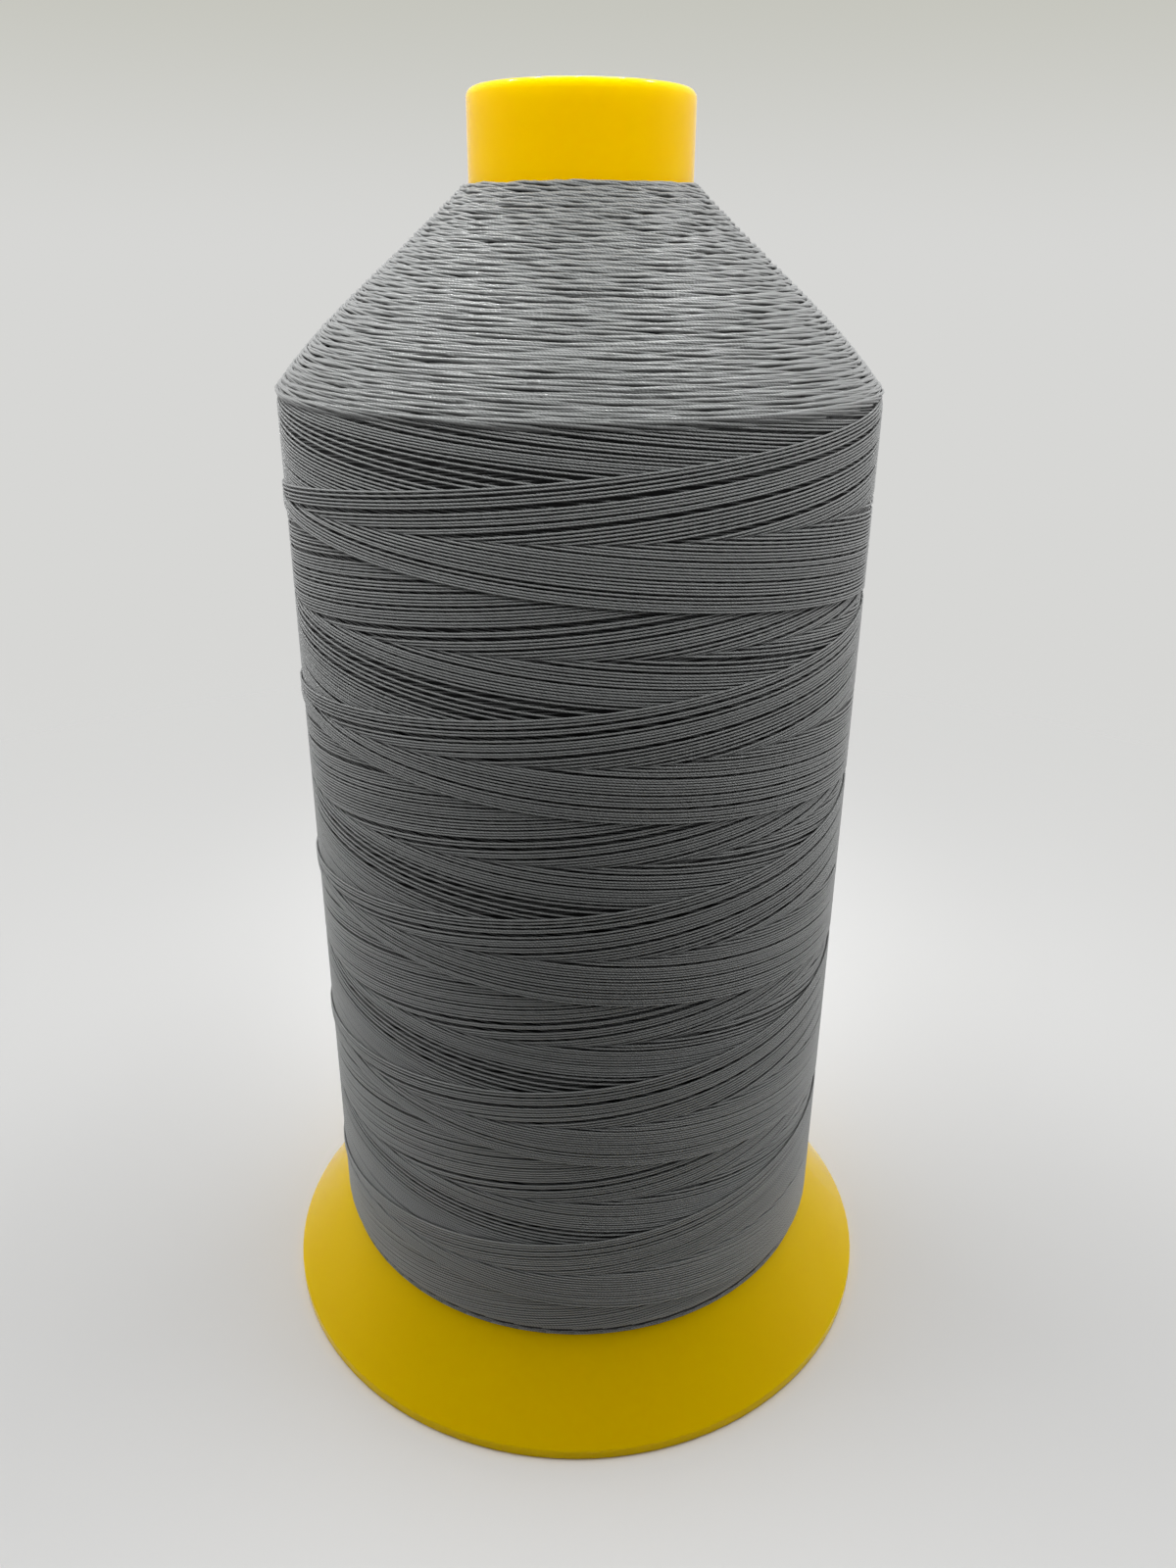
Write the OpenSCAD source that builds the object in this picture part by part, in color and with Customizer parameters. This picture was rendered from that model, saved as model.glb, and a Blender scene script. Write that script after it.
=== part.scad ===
// Large spool of heavy sewing thread. A one-piece moulded spool, with a long tube and a
// flared base that is hollow underneath, carries one thread wound to and fro over it.
// Millimetres, +Z up. The origin is the centre of the base, on the plane it stands on.

/* [Spool] */
// Height of the spool, from the plane it stands on to the top of the rim
spool_h = 187; // [175:1:200]
// Outside diameter of the tube
tube_d = 29.5; // [27:0.5:32]
// Thickness of every wall of the moulding
wall = 2; // [1.6:0.1:2.5]
// Outside diameter of the base
base_d = 101.5; // [96:0.5:112]
// Height of the upright lip round the base
lip_h = 1.9; // [1.5:0.1:3]
// Slope of the base above its lip, in degrees from level
base_slope = 52; // [48:1:56]
// Radius of the hollow curve that carries the base into the tube
flare_r = 60; // [45:1:70]
// Radius of the rounded outside of the top rim
rim_round = 1.2; // [0.6:0.1:1.4]
// Radius of the small rounds on the other edges
edge_round = 0.4; // [0.2:0.1:0.6]

/* [Hollow base] */
// Height of the roof of the pockets under the base
pocket_h = 44; // [36:1:45]
// Number of ribs that brace the base from inside
rib_count = 6; // [4:1:8]
// Thickness of a rib
rib_t = 1.5; // [1:0.1:2]
// How far the hub and the ribs stop short of the plane the spool stands on
foot_recess = 1.5; // [1:0.1:3]

/* [Thread] */
// Diameter of the thread
thread_d = 0.42; // [0.36:0.01:0.5]
// Outside diameter over the wound thread
package_d = 83; // [78:0.5:88]
// Length of bare tube above the thread
neck_h = 10.8; // [6:0.2:16]
// Height of the cone shoulder that the thread forms at its top
shoulder_h = 25; // [20:0.5:30]

/* [Outer turns] */
// Turns laid round the cone shoulder
cone_turns = 14; // [8:1:14]
// Turns in one pass along the straight side
pass_turns = 4.75; // [3.25:0.5:4.75]
// Gap left between the falling and the rising pass where they cross
cross_gap = 0.45; // [0.42:0.01:0.6]
// Gap left between the outer turns and what they lie on
lay_gap = 0.05; // [0.03:0.01:0.1]
// Gap left between the body of thread and the spool
seat_gap = 0.05; // [0.03:0.01:0.1]

/* [Hidden] */

// The spool
tube_r = tube_d/2;
bore_r = tube_r - wall;
base_r = base_d/2;
rim_out = min(rim_round, wall - edge_round - 0.1);
arc_steps = 6;      // straight pieces in a small round
flare_steps = 14;   // straight pieces in the long hollow curve
past = 1;           // how far a cut runs past the face it opens

// The wound thread
neck_z = spool_h - neck_h;
shoulder_z = neck_z - shoulder_h;
feather = thread_d/2;            // thickness of the body of thread at its top edge
feather_drop = 3.5*thread_d;     // how far below the neck the body of thread ends

// The outer turns: a tube of 6 sides with 24 rings to the turn
ring_steps = 24;
sides = 6;
chord = cos(180/ring_steps);     // how far a straight step cuts inside its circle
rising_r = package_d/2 - thread_d/2;
falling_r = rising_r - thread_d - cross_gap;
body_r = falling_r*chord - thread_d/2 - lay_gap;
lay = thread_d/2 + lay_gap;      // from a surface to the centre of a turn lying on it

cone_rings = cone_turns*ring_steps;
pass_rings = round(pass_turns*ring_steps);
foot_ring = cone_rings + pass_rings;
last_ring = foot_ring + pass_rings;

function unit(v) = v/norm(v);
function turned(v, a) = [v.x*cos(a) - v.y*sin(a), v.x*sin(a) + v.y*cos(a)];
function eased(t) = let(s = max(0, min(1, t))) s*s*(3 - 2*s);

// The corner b of the outline a, b, c, rounded to the radius r in n straight pieces
function rounded(a, b, c, r, n) =
    let(u = unit(a - b), v = unit(c - b), half = acos(u*v)/2,
        centre = b + unit(u + v)*r/sin(half),
        first = b + u*r/tan(half) - centre,
        last = b + v*r/tan(half) - centre,
        sweep = sign(cross(first, last))*(180 - 2*half))
    [for (i = [0:n]) centre + turned(first, sweep*i/n)];

// Height of the sloping top of the base at the radius r
function slope_z(r) = lip_h + (base_r - r)*tan(base_slope);

// Where the slope of the base and the side of the tube would meet, both moved out by g
function flare_corner(g) = [tube_r + g, slope_z(tube_r + g) + g/cos(base_slope)];

// The flare from the slope's level z_low up the tube, moved out from the surface by g
function flare(g, r_low, z_top) =
    let(low = [r_low, slope_z(r_low) + g/cos(base_slope)], top = [tube_r + g, z_top])
    concat([low], rounded(low, flare_corner(g), top, flare_r - g, flare_steps), [top]);

// One half of the spool cut down its middle, still filled in under the base
spool_section = concat(
    [[bore_r, 0]],
    rounded([bore_r, 0], [base_r, 0], [base_r, lip_h], edge_round, arc_steps),
    rounded([base_r, 0], [base_r, lip_h], [tube_r, slope_z(tube_r)], edge_round, arc_steps),
    rounded([base_r, lip_h], flare_corner(0), [tube_r, spool_h], flare_r, flare_steps),
    rounded([tube_r, 0], [tube_r, spool_h], [bore_r, spool_h], rim_out, arc_steps),
    rounded([tube_r, spool_h], [bore_r, spool_h], [bore_r, 0], edge_round, arc_steps));

// The space under the base, between the hub and the inside of the flare
module pocket_ring() {
    rotate_extrude($fn = 96) intersection() {
        polygon(concat(flare(-wall, base_r + past, spool_h), [[0, spool_h], [0, -past],
                                                              [base_r + past, -past]]));
        translate([tube_r, -past]) square([base_r - wall - tube_r, pocket_h + past]);
    }
}

// The ribs, as plates that cross the space from the hub to the flare
module rib_plates() {
    for (i = [0:rib_count - 1]) rotate((i + 0.5)*360/rib_count)
        translate([bore_r, -rib_t/2, foot_recess]) cube([base_r, rib_t, pocket_h]);
}

// Tube, flared base, hub and ribs, moulded in one piece
module spool() {
    color([0.96, 0.72, 0.02]) difference() {
        rotate_extrude($fn = 96) polygon(spool_section);
        difference() {
            pocket_ring();
            rib_plates();
        }
        translate([0, 0, -past]) cylinder(r = tube_r + past, h = foot_recess + past, $fn = 96);
    }
}

// The body of thread under the outer turns: it fills the space round the tube and above
// the base, and ends in a cone shoulder at the top
module wound_thread() {
    inside = flare(seat_gap, body_r, neck_z - feather_drop);
    outside = [[tube_r + feather, neck_z - feather_drop], [body_r, shoulder_z]];
    color([0.30, 0.30, 0.31]) rotate_extrude($fn = 96) polygon(concat(inside, outside));
}

// How much the radius of the body of thread grows for each millimetre down the shoulder
cone_rate = (body_r - tube_r - feather)/(shoulder_h - feather_drop);
cone_lay = lay*norm([cone_rate, 1]);

// Radius of a turn's ring points on the shoulder at height z, on the tube above it
function shoulder_r(z) =
    min(falling_r, max(tube_r + lay_gap + thread_d,
                       (body_r - (z - shoulder_z)*cone_rate + cone_lay)/chord));

// The pass turns back where it would touch the slope of the base
foot_z = slope_z(body_r + lay) + lay/cos(base_slope);
top_z = neck_z - thread_d/2;
end_z = shoulder_z - thread_d;

// Height of ring i: slowly down the shoulder, fast down the side, and back up the side
function turn_z(i) =
    i <= cone_rings ? top_z + (shoulder_z - top_z)*i/cone_rings
  : i <= foot_ring ? shoulder_z + (foot_z - shoulder_z)*(i - cone_rings)/pass_rings
  : foot_z + (end_z - foot_z)*(i - foot_ring)/pass_rings;

// Radius of ring i: the rising pass moves out over the falling one in the turn at the foot
function turn_r(i) =
    i <= cone_rings ? shoulder_r(turn_z(i))
  : falling_r + (rising_r - falling_r)*eased((i - foot_ring)/ring_steps + 0.5);

function ring_at(i, r) = [r*cos(i*360/ring_steps), r*sin(i*360/ring_steps), turn_z(i)];

// The centre line, with a straight end at each side that runs square to what it meets
turns_line = concat([ring_at(0, tube_r + lay_gap)],
                    [for (i = [0:last_ring]) ring_at(i, turn_r(i))],
                    [ring_at(last_ring, body_r + lay_gap)]);

// The least gap between turns, measured on the centre line's points a quarter turn apart
least_gap = min([for (i = [0:len(turns_line) - 1])
                 for (j = [i + ring_steps/4:1:len(turns_line) - 1])
                     norm(turns_line[i] - turns_line[j])]) - thread_d;
echo(least_gap_mm = least_gap, turns = last_ring/ring_steps);

// The corners of the tube's cross-section at point i of the line, mitred where it bends
function section_at(line, i, r) =
    let(last = len(line) - 1,
        come = unit(line[max(i, 1)] - line[max(i, 1) - 1]),
        go = unit(line[min(i, last - 1) + 1] - line[min(i, last - 1)]),
        along = unit(come + go),
        up = unit([0, 0, 1] - along*along.z),
        side = cross(along, up)/(along*go))
    [for (k = [0:sides - 1]) line[i] + r*(up*cos(k*360/sides) + side*sin(k*360/sides))];

// One closed tube of radius r along the points of a line
module thread_tube(line, r) {
    rings = len(line);
    points = [for (i = [0:rings - 1]) each section_at(line, i, r)];
    skin = [for (i = [0:rings - 2]) for (k = [0:sides - 1])
            let(a = i*sides + k, b = i*sides + (k + 1)%sides)
            each [[a, b, b + sides], [a, b + sides, a + sides]]];
    first_end = [for (k = [1:sides - 2]) [0, k + 1, k]];
    last_end = [for (k = [1:sides - 2]) [0, k, k + 1] + (rings - 1)*sides*[1, 1, 1]];
    polyhedron(concat(points), concat(skin, first_end, last_end));
}

// The last turns of the thread, wound in one unbroken length: round the shoulder, down the
// side to the base, and back up across them
module outer_turns() {
    color([0.46, 0.46, 0.47]) thread_tube(turns_line, thread_d/2);
}

spool();
wound_thread();
outer_turns();
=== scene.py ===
import math

import bpy
import numpy as np
from mathutils import Matrix, Vector


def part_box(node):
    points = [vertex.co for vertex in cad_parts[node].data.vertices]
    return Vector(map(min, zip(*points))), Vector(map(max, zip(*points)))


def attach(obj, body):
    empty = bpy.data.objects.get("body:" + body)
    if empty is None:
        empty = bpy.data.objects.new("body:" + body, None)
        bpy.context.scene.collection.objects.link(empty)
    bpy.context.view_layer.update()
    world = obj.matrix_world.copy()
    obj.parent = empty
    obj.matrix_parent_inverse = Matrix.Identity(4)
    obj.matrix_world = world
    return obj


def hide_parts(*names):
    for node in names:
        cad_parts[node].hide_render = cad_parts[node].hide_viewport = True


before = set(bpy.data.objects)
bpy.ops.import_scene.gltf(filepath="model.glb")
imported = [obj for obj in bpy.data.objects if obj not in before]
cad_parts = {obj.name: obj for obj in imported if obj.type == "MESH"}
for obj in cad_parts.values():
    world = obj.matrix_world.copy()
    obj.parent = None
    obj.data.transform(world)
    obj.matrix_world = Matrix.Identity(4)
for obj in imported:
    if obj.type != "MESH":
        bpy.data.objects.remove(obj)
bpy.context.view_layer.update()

# ---------------------------------------------------------------- Spool
# One injection moulding in glossy yellow polypropylene: a long tube with a rounded rim, and a
# flared base, hollow underneath, with a hub and ribs inside. Its mesh is the CAD solid, and
# here it gets its finish.
TUBE_RADIUS = 0.01475
RIM_ROUND = 0.0012
LIGHT_YELLOW = (235, 187, 0)
DEEP_YELLOW = (229, 181, 0)


def paint(red, green, blue):
    """A display colour, 0 to 255, as the linear colour a shader takes: each channel is
    divided by 255 and put through the sRGB curve."""
    shown = np.array([red, green, blue])/255
    linear = np.where(shown <= 0.04045, shown/12.92, ((shown + 0.055)/1.055)**2.4)
    return (*linear.tolist(), 1.0)


class Value:
    """The output of a shader node. Python's operators on it add the Math nodes they mean."""

    def __init__(self, finish, socket):
        self.finish = finish
        self.socket = socket

    def math(self, operation, *terms):
        return self.finish.node("ShaderNodeMath", {"operation": operation}, dict(enumerate(terms)))

    def __add__(self, other):
        return self.math("ADD", self, other)

    def __sub__(self, other):
        return self.math("SUBTRACT", self, other)

    def __rsub__(self, other):
        return self.math("SUBTRACT", other, self)

    def __mul__(self, other):
        return self.math("MULTIPLY", self, other)

    def __gt__(self, other):
        return self.math("GREATER_THAN", self, other)

    def __abs__(self):
        return self.math("ABSOLUTE", self)

    def cosine(self):
        return self.math("COSINE", self)

    __radd__ = __add__
    __rmul__ = __mul__


class Finish:
    """A material, or the world, while it is put together. node() adds any node and gives
    its output; the others are short ways to ask it for a common one."""

    def __init__(self, owner):
        self.owner = owner
        self.owner.use_nodes = True
        self.tree = owner.node_tree
        self.tree.nodes.clear()

    def node(self, kind, settings, sockets, output=0):
        """Adds a node: its settings first, then its sockets, each a plain value or a
        Value to link."""
        node = self.tree.nodes.new(kind)
        for name, value in settings.items():
            setattr(node, name, value)
        for name, value in sockets.items():
            if isinstance(value, Value):
                self.tree.links.new(value.socket, node.inputs[name])
            else:
                node.inputs[name].default_value = value
        return Value(self, node.outputs[output]) if node.outputs else None

    def place(self, output="Object"):
        return self.node("ShaderNodeTexCoord", {}, {}, output)

    def part(self, vector, axis):
        return self.node("ShaderNodeSeparateXYZ", {}, {0: vector}, axis)

    def vector(self, operation, *terms, output="Vector"):
        settings = {"operation": operation}
        return self.node("ShaderNodeVectorMath", settings, dict(enumerate(terms)), output)

    def noise(self, place, scale, detail=2.0):
        return self.node("ShaderNodeTexNoise", {}, {
            "Vector": place, "Scale": scale, "Detail": detail})

    def blend(self, share, first, second):
        """The mix of two colours, from the first at share 0 to the second at share 1."""
        return self.node("ShaderNodeMix", {"data_type": "RGBA"}, {0: share, 6: first, 7: second}, 2)

    def fade(self, value, low, high, start=0.0, end=1.0):
        """start while the value is up to low, end from high on, and a smooth step between."""
        return self.node("ShaderNodeMapRange", {"interpolation_type": "SMOOTHSTEP"}, {
            "Value": value, "From Min": low, "From Max": high, "To Min": start, "To Max": end})

    def done(self, surface, output="ShaderNodeOutputMaterial"):
        self.node(output, {}, {"Surface": surface})
        return self.owner


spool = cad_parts["spool"]
base_radius, _, spool_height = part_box("spool")[1]
rim_start = spool_height - RIM_ROUND


def moulded_plastic():
    """Glossy yellow plastic: faint cloudiness in the colour, a moulded skin with a very
    shallow ripple, and light handling marks that vary the gloss."""
    finish = Finish(bpy.data.materials.new("spool_plastic"))
    place = finish.place()
    cloud = finish.noise(place, scale=45.0, detail=3.0)
    ripple = finish.noise(place, scale=260.0)
    marks = finish.noise(place, scale=1400.0, detail=4.0)

    # The round of the rim, as the way out from the ring at the middle of its curve
    flat = finish.vector("MULTIPLY", place, (1.0, 1.0, 0.0))
    outward = finish.vector("NORMALIZE", flat)
    reach = TUBE_RADIUS - RIM_ROUND
    ring = finish.vector("MULTIPLY_ADD", outward, (reach, reach, 0.0), (0.0, 0.0, rim_start))
    round_way = finish.vector("NORMALIZE", finish.vector("SUBTRACT", place, ring))
    radius = finish.vector("LENGTH", flat, output="Value")
    on_rim = (finish.part(place, "Z") > rim_start)*(radius > reach)
    facing = finish.node("ShaderNodeNewGeometry", {}, {}, "Normal")
    shape = finish.node("ShaderNodeMix", {"data_type": "VECTOR"}, {0: on_rim, 4: facing, 5: round_way}, 1)
    normal = finish.node("ShaderNodeBump", {}, {
        "Strength": 0.35, "Distance": 0.00006, "Height": ripple + marks*0.12, "Normal": shape})
    return finish.done(finish.node("ShaderNodeBsdfPrincipled", {}, {
        "Base Color": finish.blend(cloud, paint(*LIGHT_YELLOW), paint(*DEEP_YELLOW)),
        "Roughness": 0.09 + marks*0.06, "Normal": normal, "IOR": 1.49,
        "Specular IOR Level": 0.06, "Specular Tint": (1.0, 0.85, 0.2, 1.0),
        "Subsurface Weight": 0.6, "Subsurface Radius": (0.008, 0.0076, 0.0006),
        "Subsurface Scale": 1.0}))


spool.data.materials.clear()
spool.data.materials.append(moulded_plastic())

# ---------------------------------------------------------------- Inner layers
# All the thread under the outermost layers, bonded nylon wound so tight that it is as good
# as solid. It shows only as the bottom of the gaps between the outer turns, painted dark
# as shade on the side.
# A revolved closed outline stands for it, with its end lying on the flare of the base.
LIP_HEIGHT = 0.0019          # upright edge of the base
BASE_SLOPE = math.radians(52)
FLARE_RADIUS = 0.060         # curve from the slope of the base into the tube
NECK_LENGTH = 0.0108         # bare tube above the thread
SHOULDER_HEIGHT = 0.025      # cone at the top of the package
THREAD = 0.00042             # diameter of the thread
FACE_ROOM = 0.0003           # how far the newest turns lie outside the ones of the CAD
LAYERS_DEEP = 0.00125        # how far the inner layers lie below the outer face
TOP_DEEP = 0.0012            # how far they end below the top of the thread
CLEAR = 0.00005              # their room to the base
TUBE_CLEAR = 0.0002          # their room to the tube, at the top
SECTORS = 180
LIGHTEN_BELOW = 0.003        # how far below the shoulder their grey starts to get lighter
# Painted shade: dark greys on the side, lighter ones on the shoulder
DARK_GROOVE, DARK_THREAD = 32, 60
LIGHT_GROOVE, LIGHT_THREAD = 132, 152

package_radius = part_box("outer_turns")[1].x + FACE_ROOM
neck_z = spool_height - NECK_LENGTH
shoulder_z = neck_z - SHOULDER_HEIGHT
shoulder_slope = math.atan2(SHOULDER_HEIGHT, package_radius - TUBE_RADIUS - THREAD)


def slope_z(radius):
    """Height of the top of the base: the lip's height plus the way in times the slope."""
    return LIP_HEIGHT + (base_radius - radius)*math.tan(BASE_SLOPE)


def flare_outline(gap, low_radius, top, steps=24):
    """Radius and height along the spool's outside, moved out by gap: the slope of the base,
    an arc of FLARE_RADIUS that touches the slope and the tube, and the tube up to top."""
    radius = FLARE_RADIUS - gap
    half = (math.pi/2 + BASE_SLOPE)/2
    corner = TUBE_RADIUS + gap
    touch = slope_z(corner) + gap/math.cos(BASE_SLOPE) + radius/math.tan(half)
    turn = np.linspace(math.pi/2 - BASE_SLOPE, 0, steps)
    arc = np.stack([corner + radius*(1 - np.cos(turn)), touch - radius*np.sin(turn)], axis=1)
    low = [low_radius, slope_z(low_radius) + gap/math.cos(BASE_SLOPE)]
    return np.concatenate([[low], arc, [[corner, top]]])


def grid_mesh(name, points, finish, closed=False):
    """A piece from a rows x columns x 3 grid of points, with a quad between neighbours,
    and, where it is closed, from the last row and column on to the first."""
    rows, columns = points.shape[:2]
    index = np.arange(rows*columns).reshape(rows, columns)
    if closed:
        index = np.pad(index, ((0, 1), (0, 1)), mode="wrap")
    faces = np.stack([index[:-1, :-1], index[:-1, 1:], index[1:, 1:], index[1:, :-1]], axis=-1)
    mesh = bpy.data.meshes.new(name)
    mesh.from_pydata(points.reshape(-1, 3).tolist(), [], faces.reshape(-1, 4).tolist())
    mesh.shade_smooth()
    mesh.materials.append(finish)
    piece = bpy.data.objects.new(name, mesh)
    bpy.context.scene.collection.objects.link(piece)
    return piece


def grey(level):
    return paint(level, level, level)


def thread_in_shade():
    """The grey of the thread at the bottom of a gap, in fine level grooves, as painted shade:
    dark on the side, lighter on the shoulder, where the turns lie open."""
    finish = Finish(bpy.data.materials.new("inner_thread"))
    place = finish.place()
    stretch = finish.node("ShaderNodeMapping", {}, {"Vector": place, "Scale": (60.0, 60.0, 2600.0)})
    groove_shade = finish.noise(stretch, scale=1.0, detail=1.0)
    on_shoulder = finish.node("ShaderNodeMapRange", {}, {
        "Value": finish.part(place, "Z"),
        "From Min": shoulder_z - LIGHTEN_BELOW, "From Max": shoulder_z})
    colour = finish.blend(groove_shade, finish.blend(on_shoulder, grey(DARK_GROOVE), grey(LIGHT_GROOVE)),
                          finish.blend(on_shoulder, grey(DARK_THREAD), grey(LIGHT_THREAD)))
    return finish.done(finish.node("ShaderNodeBsdfPrincipled", {}, {
        "Base Color": colour, "Roughness": 0.8, "Specular IOR Level": 0.2}))


inner_top = neck_z - TOP_DEEP
inner_radius = package_radius - LAYERS_DEEP
inner_edge = shoulder_z - LAYERS_DEEP*math.tan((math.pi/2 - shoulder_slope)/2)
outside = np.array([[TUBE_RADIUS + TUBE_CLEAR, inner_top], [inner_radius, inner_edge]])
outline = np.concatenate([flare_outline(CLEAR, inner_radius, inner_top), outside])
around = np.linspace(0, 2*math.pi, SECTORS, endpoint=False)[:, None]
rings = np.stack([outline[:, 0]*np.cos(around), outline[:, 0]*np.sin(around),
                  outline[:, 1] + 0*around], axis=-1)
inner_layers = grid_mesh("inner_layers", rings, thread_in_shade(), closed=True)
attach(inner_layers, "root")
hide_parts("wound_thread")

# ---------------------------------------------------------------- Side turns
# The outermost layers on the straight side: one thread, laid to and fro as the spool turns,
# so that a rising pass and a falling pass cross all the way round. Each cycle up and down
# lands just before the last one, so the newest turns lie as ribbons over the older ones.
CYCLES = 58                  # cycles until the pattern has moved on by a whole turn
CYCLES_PER_PIECE = (12, 12, 12, 11, 11)
TURNS_PER_CYCLE = 10 - 1/CYCLES
RISING_TURNS = 4.95          # turns of a pass from the foot up to the shoulder
RINGS_PER_TURN = 120
SIDES = 6                    # of the outline of a strand
STRAND = 0.00030             # diameter drawn, slighter than the thread, so that gaps show
PLY_LENGTH = 0.00144         # one full twist of the three plies
TURNBACK = 0.34              # half the angle in which a pass turns back, radians
FIRST_TOP = 1.52             # angle of the newest turn-back at the shoulder, from the front
TIGHT = 0.000366             # spacing of turns lying side by side
TOP_BELOW = 0.0002           # how far the turn-backs lie below the edge of the shoulder
# Turns that lie close together in each ribbon, from the newest ribbon on
RISING_GROUPS = (3, 2, 6, 4, 2, 5, 3, 4, 6, 2, 3, 5, 4, 3, 6)
FALLING_GROUPS = (5, 4, 6, 5, 4, 1, 1, 1, 1, 1, 1, 1, 6, 5, 2, 1, 2, 5, 6)
SINGLE_GAP = 3               # how much wider the gap after a single turn is
UNEVEN_GAP = (0.3, 1.7)      # least and greatest share of its width that a gap gets
SLIGHT_GAP = 0.7             # a gap inside a group is up to the square of this
REGROUP = 1.6                # angle in which the groups of one pass turn into the other's
EVEN_FROM = 0.75             # share of the way down from which the turns even out
WAVES = (2, 3, 5, 9)         # a turn wanders up and down in waves, so many in three turns
WAVE_SIZE = (0.3, 1)
WAVE_START = 6.3             # all round, radians
WANDER = 0.00004             # height of a wave
STEADY = 30                  # it grows and dies away in one part in so many of a pass
LAYER = 0.00033              # thickness that one round of cycles adds in one direction
CROSSING = 0.00040           # how far a turn lies above the one it crosses
CLIMB = 1.4                  # how many turns wide its climb on to the crossed ones is
FOOT_TUCK = 0.0011           # how far inside the face the lowest turns meet the base
FOOT_SLIP = 0.00088          # how far the turns just above them slip inwards,
FOOT_HEIGHT = 0.0022         # and from what height above them
TOP_SLIP = 0.0003            # the same for the highest turns
TOP_HEIGHT = 0.0016
UNDERSIDE = 0.45             # where a turn rests on the next, as a share of the way round it
# The dark along the underside is painted shade
UNDERSIDE_EDGE = (0.1, 0.95)   # cosines of the angles from there where its dark begins and ends

top_z = shoulder_z - TOP_BELOW
foot_z = slope_z(package_radius - FOOT_TUCK) + THREAD/2/math.cos(BASE_SLOPE)
rng = np.random.default_rng(58)


def twisted_thread(name, top, groove_shade, underside_shade, relief, covered_shade_share=0.0):
    """Bonded grey thread of three plies, from three greys, 0 to 255, and a height in metres.
    The plies show as slanting ridges, the cosine of three times the way along less the way
    round, with painted shade in the grooves between them. The thread has painted shade along
    its underside, darkest where it rests on the next turn, and, by a given share, as dark
    where other turns lie over it."""
    finish = Finish(bpy.data.materials.new(name))
    along_and_round = finish.place("UV")
    turns = finish.vector("DOT_PRODUCT", along_and_round, (3*math.pi, -3*math.pi, 0.0), output="Value")
    ridge = abs(turns.cosine())
    # Painted shade along the underside, where the turn rests on the next one
    from_underside = (finish.part(along_and_round, "Y") - UNDERSIDE)*(2*math.pi)
    underside_shade_mask = finish.fade(from_underside.cosine(), *UNDERSIDE_EDGE)
    place = finish.place()
    cloud = finish.noise(place, scale=70.0, detail=3.0)
    fuzz = finish.noise(place, scale=9000.0)
    colour = finish.blend(cloud, paint(top - 6, top - 4, top - 5), paint(top + 4, top + 6, top + 5))
    # Painted shade in the grooves between the plies
    colour = finish.blend(ridge, paint(groove_shade - 1, groove_shade + 1, groove_shade), colour)
    colour = finish.blend(underside_shade_mask, colour, grey(underside_shade))
    # Painted shade where other turns lie over this one
    if covered_shade_share:
        covered = finish.node("ShaderNodeAttribute", {"attribute_name": "covered"}, {}, "Fac")
        colour = finish.blend(covered*covered_shade_share, colour, grey(underside_shade))
    normal = finish.node("ShaderNodeBump", {}, {
        "Strength": 1.0, "Distance": relief, "Height": ridge + fuzz*0.2})
    return finish.done(finish.node("ShaderNodeBsdfPrincipled", {}, {
        "Base Color": colour, "Roughness": 0.24 + fuzz*0.12, "Normal": normal,
        "Specular IOR Level": 0.5, "Sheen Weight": 0.1, "Sheen Roughness": 0.5}))


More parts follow.
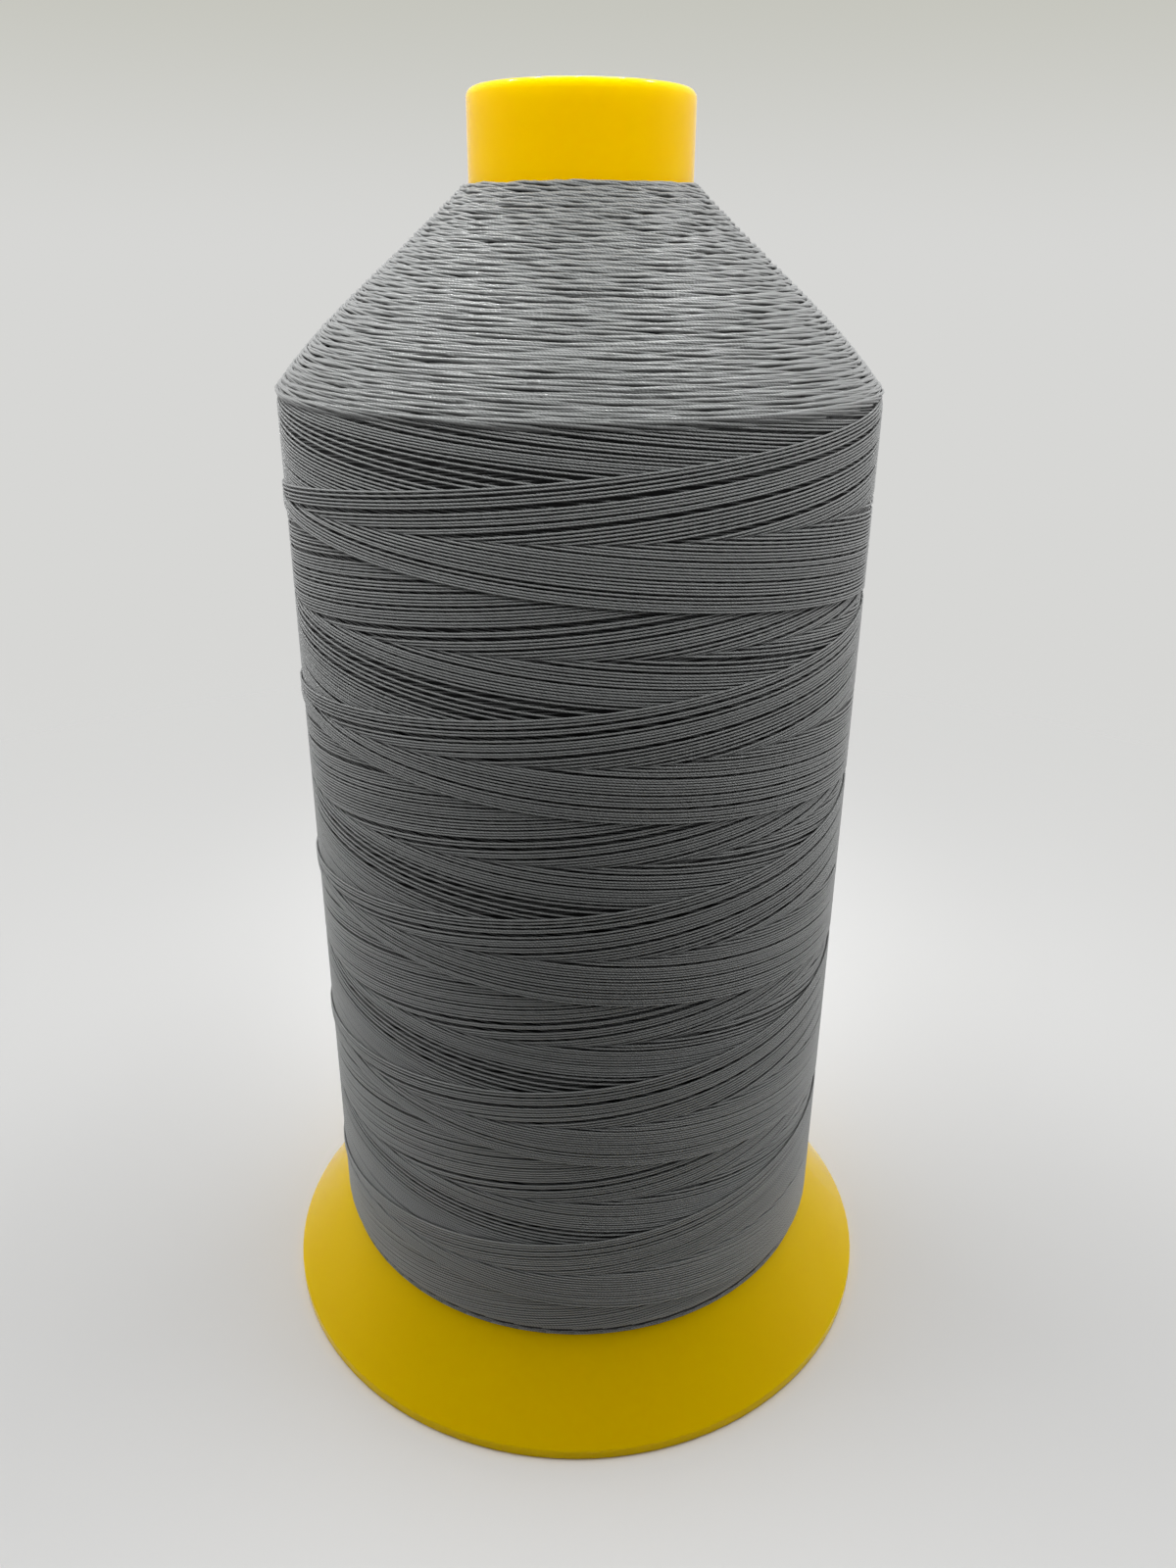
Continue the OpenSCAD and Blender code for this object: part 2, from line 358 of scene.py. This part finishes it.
def strand_piece(name, lines, diameter, finish, covered=None):
    """Closed tubes along lines, a strands x points x 3 array. Each ring stands square to the
    line, from an upright and a sideways direction; U counts twists along the strand, from a
    random start, and V goes once round it. covered, 0 to 1 at each point of the lines, is
    kept as an attribute."""
    strands, rings = lines.shape[:2]
    along = np.gradient(lines, axis=1)
    along /= np.linalg.norm(along, axis=2, keepdims=True)
    side = np.cross(along, [0, 0, 1.0])
    side /= np.linalg.norm(side, axis=2, keepdims=True)
    up = np.cross(side, along)
    angle = np.linspace(0, 2*math.pi, SIDES, endpoint=False)[:, None]
    points = lines[:, :, None] + diameter/2*(np.cos(angle)*up[:, :, None]
                                             + np.sin(angle)*side[:, :, None])
    steps = np.linalg.norm(np.diff(lines, axis=1), axis=2)
    twists = np.concatenate([np.zeros((strands, 1)), np.cumsum(steps, axis=1)], axis=1)/PLY_LENGTH
    twists += rng.uniform(0, 1, (strands, 1))

    index = np.arange(strands*rings*SIDES).reshape(strands, rings, SIDES)
    index = np.concatenate([index, index[:, :, :1]], axis=2)
    quads = np.stack([index[:, :-1, :-1], index[:, :-1, 1:], index[:, 1:, 1:], index[:, 1:, :-1]],
                     axis=-1).reshape(-1, 4)
    ends = np.concatenate([index[:, 0, -2::-1], index[:, -1, :-1]])
    corners = np.concatenate([quads.ravel(), ends.ravel()])
    starts = np.concatenate([np.arange(len(quads))*4, len(quads)*4 + np.arange(len(ends))*SIDES])

    way = np.broadcast_to(twists[:, :, None], (strands, rings, SIDES + 1))
    round_it = np.broadcast_to(np.arange(SIDES + 1)/SIDES, way.shape)
    both = np.stack([way, round_it], axis=-1)
    quad_uv = np.stack([both[:, :-1, :-1], both[:, :-1, 1:], both[:, 1:, 1:], both[:, 1:, :-1]],
                       axis=3).reshape(-1, 2)
    uv = np.concatenate([quad_uv, np.zeros((ends.size, 2))])

    mesh = bpy.data.meshes.new(name)
    mesh.vertices.add(points.size//3)
    mesh.vertices.foreach_set("co", points.ravel())
    mesh.loops.add(len(corners))
    mesh.loops.foreach_set("vertex_index", corners)
    mesh.polygons.add(len(starts))
    mesh.polygons.foreach_set("loop_start", starts)
    mesh.uv_layers.new(name="UVMap").data.foreach_set("uv", uv.ravel())
    if covered is not None:
        mesh.attributes.new("covered", "FLOAT", "POINT").data.foreach_set(
            "value", np.repeat(covered.ravel(), SIDES).astype(np.float32))
    mesh.update(calc_edges=True)
    mesh.shade_smooth()
    mesh.materials.append(finish)
    piece = bpy.data.objects.new(name, mesh)
    bpy.context.scene.collection.objects.link(piece)
    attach(piece, "root")
    return piece


def ease(share):
    """0 up to share 0, 1 from share 1, and the smooth cubic 3s^2 - 2s^3 between."""
    share = np.clip(share, 0, 1)
    return share*share*(3 - 2*share)


def pass_drop(angle, turns, slope):
    """How far a pass has come down at an angle from its turn-back: a parabola, a straight
    run at the given slope, and a parabola again at the other end."""
    reach = 2*math.pi*turns
    drop = slope*(reach - TURNBACK)
    curve = slope/(2*TURNBACK)
    straight = slope*(angle - TURNBACK/2)
    return np.where(angle < TURNBACK, curve*angle**2,
                    np.where(angle > reach - TURNBACK, drop - curve*(reach - angle)**2, straight))


falling_turns = TURNS_PER_CYCLE - RISING_TURNS
side_height = top_z - foot_z
rising_slope = side_height/(2*math.pi*RISING_TURNS - TURNBACK)
falling_slope = side_height/(2*math.pi*falling_turns - TURNBACK)


def laid(groups, slope):
    """Where each cycle lies, from the newest, 0, to the oldest, just under 1: its turns lie
    close in groups, and the spare room is shared out as gaps, slight ones inside a group, a
    wider one after it, and the widest after a single turn."""
    group_end = np.zeros(CYCLES + 1)
    group_end[np.cumsum(groups)] = np.where(np.array(groups) == 1, SINGLE_GAP, 1)
    gap = group_end[1:]*rng.uniform(*UNEVEN_GAP, CYCLES) + rng.uniform(0, SLIGHT_GAP, CYCLES)**2
    spacing = TIGHT + (slope*2*math.pi - CYCLES*TIGHT)*gap/gap.sum()
    return (np.cumsum(spacing) - spacing)[:, None]/spacing.sum()


# Each row of these arrays is a cycle. It starts at the foot, comes up to the shoulder at
# angle 0 and goes down again.
points_per_cycle = round(TURNS_PER_CYCLE*RINGS_PER_TURN) + 1
angle = np.linspace(-RISING_TURNS, falling_turns, points_per_cycle)*2*math.pi
falling = angle > 0
way_down = np.where(falling, angle/(2*math.pi*falling_turns), -angle/(2*math.pi*RISING_TURNS))
rising_lie = laid(RISING_GROUPS, rising_slope)
falling_lie = laid(FALLING_GROUPS, falling_slope)
lie = rising_lie + (falling_lie - rising_lie)*ease(angle/REGROUP)
even_lie = np.arange(CYCLES)[:, None]/CYCLES
lie = lie + (even_lie - lie)*ease((way_down - EVEN_FROM)/(1 - EVEN_FROM))
wave = sum(rng.uniform(*WAVE_SIZE, (CYCLES, 1))
           * np.sin(angle*number/3 + rng.uniform(0, WAVE_START, (CYCLES, 1))) for number in WAVES)
heading = FIRST_TOP + 2*math.pi*lie + angle
drop = np.where(falling, pass_drop(angle, falling_turns, falling_slope),
                pass_drop(-angle, RISING_TURNS, rising_slope))
height = top_z - drop + WANDER*wave*ease(way_down*STEADY)*ease((1 - way_down)*STEADY)

# The age of the turns crossed at each point, like lie from 0 to 1, and whether the point lies
# under them
turned = heading - FIRST_TOP
crossed_rising = np.mod((top_z + TURNBACK/2*rising_slope + rising_slope*turned - height)
                        / (2*math.pi*rising_slope), 1)
crossed_falling = np.mod((height - top_z - TURNBACK/2*falling_slope + falling_slope*turned)
                         / (2*math.pi*falling_slope), 1)
crossed = np.where(falling, crossed_rising, crossed_falling)
under = ease((lie - crossed)*CYCLES/CLIMB + 0.5)
layer_radius = package_radius - THREAD/2 - LAYER*(lie + crossed) - CROSSING*under

# A stiff thread makes no sharp step, so each point takes a quarter of both its neighbours, twice
for _ in range(2):
    layer_radius[:, 1:-1] = (layer_radius[:, :-2] + 2*layer_radius[:, 1:-1] + layer_radius[:, 2:])/4
layer_radius -= FOOT_SLIP*ease((foot_z + FOOT_HEIGHT - height)/FOOT_HEIGHT)
layer_radius -= TOP_SLIP*ease((height - top_z + TOP_HEIGHT)/TOP_HEIGHT)
above_lip = height - THREAD/2/math.cos(BASE_SLOPE) - LIP_HEIGHT
layer_radius = np.maximum(layer_radius, base_radius - above_lip/math.tan(BASE_SLOPE))

side_lines = np.stack([layer_radius*np.sin(heading), -layer_radius*np.cos(heading), height], axis=-1)
# The side's thread, with painted shade in its ply grooves, along its underside and where other turns lie
# over it
side_thread = twisted_thread("thread", top=156, groove_shade=116, underside_shade=54, relief=0.00006,
                             covered_shade_share=0.6)
last = np.cumsum(CYCLES_PER_PIECE)
for number, (start, stop) in enumerate(zip(last - CYCLES_PER_PIECE, last), start=1):
    turns = strand_piece(f"side_turns_{number}", side_lines[start:stop], STRAND, side_thread,
                         under[start:stop])
    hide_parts("outer_turns")

# ---------------------------------------------------------------- Shoulder turns
# The cone at the top is made of the places where the passes of every layer turned back, each
# cycle a little lower and further out than the last. Each shows as a nearly level arc: it
# comes up under the arcs laid after it, and goes down over the ones laid before it.
LAYERS = 40                  # layers of cycles whose turn-backs make up the cone
ARC_RINGS = 14
ARC_REACH = (-0.42, 0.52)    # where an arc starts and ends, radians from its top
ARC_SPACING = 1.009          # how the tops of two layers stand to each other round the cone
CONE_STRAND = 0.00040        # diameter of a turn on the cone, which lies looser and rounder
CONE_CROSSING = 0.00030      # how far an arc goes down to pass under the next ones
TOP_ROOM = THREAD*1.3        # room round the tube for the topmost arc
LEAST_ROOM = THREAD*0.52     # room round the tube for the middle of a thread
TOP_DROP = THREAD*0.1        # how far the topmost arc lies below the end of the bare tube
EDGE_TUCK = 0.0009           # how far the end of a low arc goes in under the turns of the side,
EDGE_DROP = 0.0011           # and how far below the shoulder it is all the way in
BULGE = 0.00120              # how far the cone is fuller than straight
BULGE_LOW = 1.7              # power that puts the fullest place below the middle
FACE_INSIDE = 0.0003         # how far inside the face of the side the cone has to stay
FIRST_SHARE = 0.002          # level of the highest arc, as a share of the cone
SHARE_SPREAD = 0.0035        # chance in that level, and in the radius, height and heading
RADIUS_SPREAD = 0.00002
HEIGHT_SPREAD = 0.00003
HEADING_SPREAD = 0.03
TURNBACK_SPREAD = (0.8, 1.5)    # least and most that an arc has of the side's turn-back,
SLOPE_SPREAD = (0.85, 1.15)     # and of its slope

# Each row of these arrays is an arc, from the innermost and oldest to the ones at the edge,
# and t is the way along it, in radians from its top.
order = np.arange(CYCLES*LAYERS, CYCLES//2, -1)
old = order/CYCLES
arcs = len(order)
share = (1 - old/LAYERS + rng.normal(0, SHARE_SPREAD, arcs)).clip(FIRST_SHARE, 1)[:, None]
t = np.linspace(*ARC_REACH, ARC_RINGS)[None]
turnback = TURNBACK*rng.uniform(*TURNBACK_SPREAD, arcs)[:, None]
slope = rising_slope*rng.uniform(*SLOPE_SPREAD, arcs)[:, None]
arc_drop = np.where(abs(t) < turnback, slope/(2*turnback)*t**2, slope*(abs(t) - turnback/2))
over = ease(0.5 + t*CYCLES/(2*math.pi))
face = TUBE_RADIUS + TOP_ROOM + (package_radius - TUBE_RADIUS - TOP_ROOM)*share
face = np.minimum(face + BULGE*np.sin(math.pi*share**BULGE_LOW), package_radius - FACE_INSIDE)
arc_radius = face - THREAD/2 - CONE_CROSSING*(1 - over) + rng.normal(0, RADIUS_SPREAD, (arcs, ARC_RINGS))
arc_radius = np.maximum(arc_radius, TUBE_RADIUS + LEAST_ROOM)
arc_height = neck_z - TOP_DROP + (top_z - neck_z + TOP_DROP)*share - arc_drop
arc_height = arc_height + rng.normal(0, HEIGHT_SPREAD, (arcs, ARC_RINGS))
arc_radius -= EDGE_TUCK*ease((top_z - arc_height)/EDGE_DROP)
arc_heading = (FIRST_TOP + 2*math.pi*old[:, None]*ARC_SPACING
               + rng.normal(0, HEADING_SPREAD, (arcs, 1)) + t)
arc_lines = np.stack([arc_radius*np.sin(arc_heading), -arc_radius*np.cos(arc_heading), arc_height],
                     axis=-1)
# The same thread on the cone, painted a darker grey than on the side to hold down the stronger light
# there, with lighter painted shade in its ply grooves and along its underside
cone_thread = twisted_thread("cone_thread", top=137, groove_shade=121, underside_shade=105, relief=0.00003)
half_way = arcs//2
for name, lines in (("shoulder_turns_upper", arc_lines[:half_way]),
                    ("shoulder_turns_lower", arc_lines[half_way:])):
    turns = strand_piece(name, lines, CONE_STRAND, cone_thread)
    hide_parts("wound_thread")

# ---------------------------------------------------------------- Studio
# A light tent of white cloth that shines softly, most at the sides, little low down and
# hardly at the front. Its pale floor fades into the backdrop. Three soft lamps light the
# shoulder, and rows of small ceiling lamps put points of light on the rim and the thread.
FLOOR = (226, 226, 225)
FLOOR_SIZE = 2.0
FLOOR_FADE = (0.09, 0.45)    # how far from the object the floor starts and ends to fade
BACKDROP = (215, 215, 213)
BACKDROP_TOP = (193, 193, 183)
TENT_LIGHT = 1.10            # strength of the back and the top
FRONT_LIGHT = 0.01           # strength of the front
SIDE_GAIN = 1.30             # how much stronger the sides shine than the back
LOW_SHARE = 0.2              # share of its strength that the lowest part of the tent has
MIRRORED_SHARE = 0.8         # share of it that shows in reflections
FRONT_EDGE = (-0.78, -0.05)  # where the light of the front ends and that of the back begins
LOW_EDGE = (-0.6, 0.1)       # where the low part ends, upwards
SIDE_EDGE = (0.3, 0.95)      # where the sides begin, outwards
TOP_EDGE = (-0.02, 0.22)     # where the top of the backdrop begins, upwards


def pale_floor():
    """A pale matt floor that turns clear away from the object, so that it runs into the
    backdrop without a line."""
    finish = Finish(bpy.data.materials.new("floor"))
    far = finish.vector("LENGTH", finish.place(), output="Value")
    matt = finish.node("ShaderNodeBsdfPrincipled", {}, {
        "Base Color": paint(*FLOOR), "Roughness": 0.8, "Specular IOR Level": 0.1})
    clear = finish.node("ShaderNodeBsdfTransparent", {}, {})
    return finish.done(finish.node("ShaderNodeMixShader", {}, {
        0: finish.fade(far, *FLOOR_FADE), 1: matt, 2: clear}))


corners = np.array([[[-1, -1, 0], [1, -1, 0]], [[-1, 1, 0], [1, 1, 0]]])*FLOOR_SIZE
floor = grid_mesh("floor", corners, pale_floor())

# The tent, by the way a ray goes: to the side X, to the back Y and up Z. A ray from the
# camera sees the backdrop instead, with painted shade that makes it darker towards the top.
world = bpy.data.worlds.new("tent")
bpy.context.scene.world = world
tent = Finish(world)
way = tent.place("Generated")
up = tent.part(way, "Z")
closed = tent.fade(tent.part(way, "Y"), *FRONT_EDGE, FRONT_LIGHT, TENT_LIGHT)
high = tent.fade(up, *LOW_EDGE, LOW_SHARE, 1.0)
sides = tent.fade(abs(tent.part(way, "X")), *SIDE_EDGE, 1.0, SIDE_GAIN)
mirrored = tent.node("ShaderNodeLightPath", {}, {}, "Is Glossy Ray")
lit = tent.node("ShaderNodeBackground", {}, {
    "Color": (1.0, 1.0, 1.0, 1.0), "Strength": closed*high*sides*(1 - mirrored*(1 - MIRRORED_SHARE))})
# Painted shade: the backdrop is darker and warmer towards the top
backdrop = tent.blend(tent.fade(up, *TOP_EDGE), paint(*BACKDROP), paint(*BACKDROP_TOP))
seen = tent.node("ShaderNodeBackground", {}, {"Color": backdrop})
from_camera = tent.node("ShaderNodeLightPath", {}, {}, "Is Camera Ray")
tent.done(tent.node("ShaderNodeMixShader", {}, {0: from_camera, 1: lit, 2: seen}),
          "ShaderNodeOutputWorld")


def lamp(name, place, size, power, spread=64, aim=(0, 0, 0.165)):
    """A lamp of the given length and width at place, of a power in watts, with a beam of a
    spread in degrees, aimed at the shoulder."""
    light = bpy.data.lights.new(name, "AREA")
    light.shape = "RECTANGLE"
    light.size, light.size_y = size
    light.energy = power
    light.spread = math.radians(spread)
    lamp_object = bpy.data.objects.new(name, light)
    lamp_object.location = place
    back = Vector(place) - Vector(aim)
    lamp_object.rotation_euler = back.to_track_quat("Z", "Y").to_euler()
    bpy.context.scene.collection.objects.link(lamp_object)
    return lamp_object


soft_lamps = (lamp("left_lamp", (-0.08, 0.03, 0.32), (0.20, 0.008), 0.042),
              lamp("right_lamp", (0.08, 0.03, 0.32), (0.20, 0.008), 0.034),
              lamp("front_lamp", (0, -0.25, 0.40), (0.06, 0.03), 0.014, spread=20,
                   aim=(0, -0.03, 0.172)))
for soft in soft_lamps:
    soft.visible_glossy = False

# The small lamps stand on an arc under the ceiling: power of each, and headings from the back
CEILING_LAMPS = ((0.035, (-43, -40, -37)), (0.06, (-17, -9, 0, 8, 15)), (0.03, (36, 39, 42)))
CEILING_LAMP_SIZE = (0.012, 0.012)
CEILING_HEIGHT = 0.62
CEILING_REACH = 0.36
CEILING_MIDDLE = -0.015
for power, headings in CEILING_LAMPS:
    for heading in np.radians(headings):
        place = (CEILING_REACH*math.sin(heading), CEILING_REACH*math.cos(heading) + CEILING_MIDDLE,
                 CEILING_HEIGHT)
        glint = lamp("ceiling_lamp", place, CEILING_LAMP_SIZE, power)
        glint.visible_diffuse = False

# The camera stands close in front, a little below the rim, and looks down
LENS = 27.94
CAMERA = (0.0, -0.1776, 0.1696)
PITCH, YAW, ROLL = (math.radians(a) for a in (24.14, 0.477, 0.419))
camera_data = bpy.data.cameras.new("camera")
camera_data.lens = LENS
camera_data.clip_start = 0.01
camera = bpy.data.objects.new("camera", camera_data)
turn = (Matrix.Rotation(-YAW, 4, "Z") @ Matrix.Rotation(math.pi/2 - PITCH, 4, "X")
        @ Matrix.Rotation(ROLL, 4, "Z"))
camera.matrix_world = Matrix.Translation(CAMERA) @ turn
bpy.context.scene.collection.objects.link(camera)
bpy.context.scene.camera = camera
bpy.context.scene.view_settings.view_transform = "Standard"
